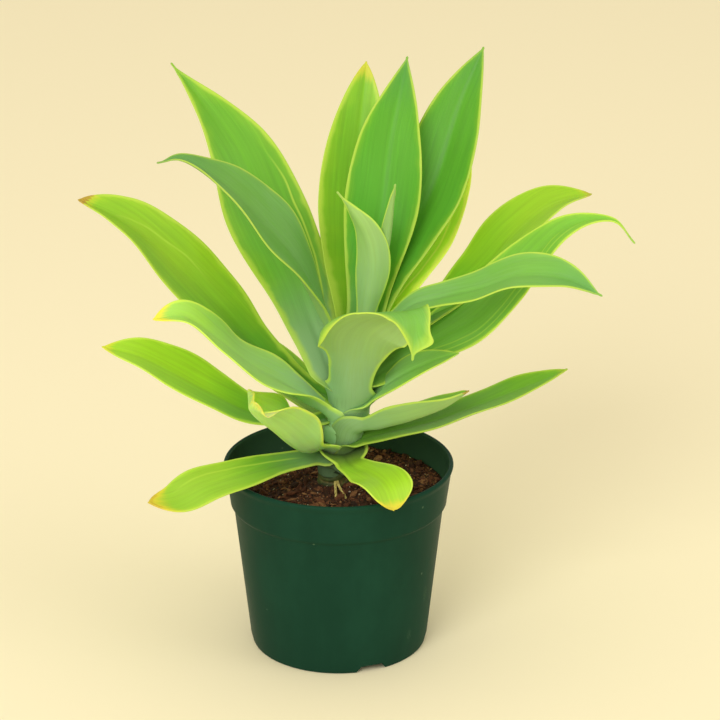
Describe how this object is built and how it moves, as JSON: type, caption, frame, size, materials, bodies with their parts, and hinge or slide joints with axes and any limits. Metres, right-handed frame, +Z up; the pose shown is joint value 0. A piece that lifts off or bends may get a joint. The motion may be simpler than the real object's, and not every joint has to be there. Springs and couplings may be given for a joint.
{
  "type": "potted foxtail agave",
  "caption": "Broad-leaved agave rosette on a short leaning stem, in a round plastic nursery pot filled with bark potting mix.",
  "frame": {"origin": "middle of the pot's underside, on the level that its foot ring and centre foot stand on", "axes": "+Z up, -Y towards the front of the plant as pictured, +X to its right"},
  "size_m": [0.3529, 0.2482, 0.3864],
  "materials": {
    "pot": "satin",
    "potting_mix": "rough",
    "stem": "matt",
    "leaf_lime": "satin",
    "leaf_green": "satin",
    "leaf_glaucous": "matt"
  },
  "bodies": {
    "root": {"pot": "pot", "potting_mix": "potting_mix", "stem": "stem", "bud_spike": "leaf_glaucous", "leaf_inner_pale": "leaf_glaucous", "leaf_tall_centre": "leaf_green", "leaf_tall_right": "leaf_green", "leaf_tall_left": "leaf_green", "leaf_arched_left": "leaf_glaucous", "leaf_back_lime": "leaf_lime", "leaf_behind_tall_right": "leaf_green", "leaf_lime_right": "leaf_lime", "leaf_arched_right": "leaf_glaucous", "leaf_back_upper_right": "leaf_green", "leaf_back_upper_left": "leaf_green", "leaf_behind_left": "leaf_green", "leaf_long_right": "leaf_green", "leaf_scoop_front": "leaf_glaucous", "leaf_under_right": "leaf_green", "leaf_long_left": "leaf_lime", "leaf_back_right": "leaf_green", "leaf_folded_left": "leaf_glaucous", "leaf_back_left": "leaf_green", "leaf_back_low": "leaf_lime", "leaf_low_left": "leaf_lime", "leaf_rolled_right": "leaf_glaucous", "leaf_cupped_left": "leaf_lime", "leaf_low_right": "leaf_green", "leaf_rim_front": "leaf_lime", "leaf_rim_left": "leaf_lime"}
  },
  "joints": []
}
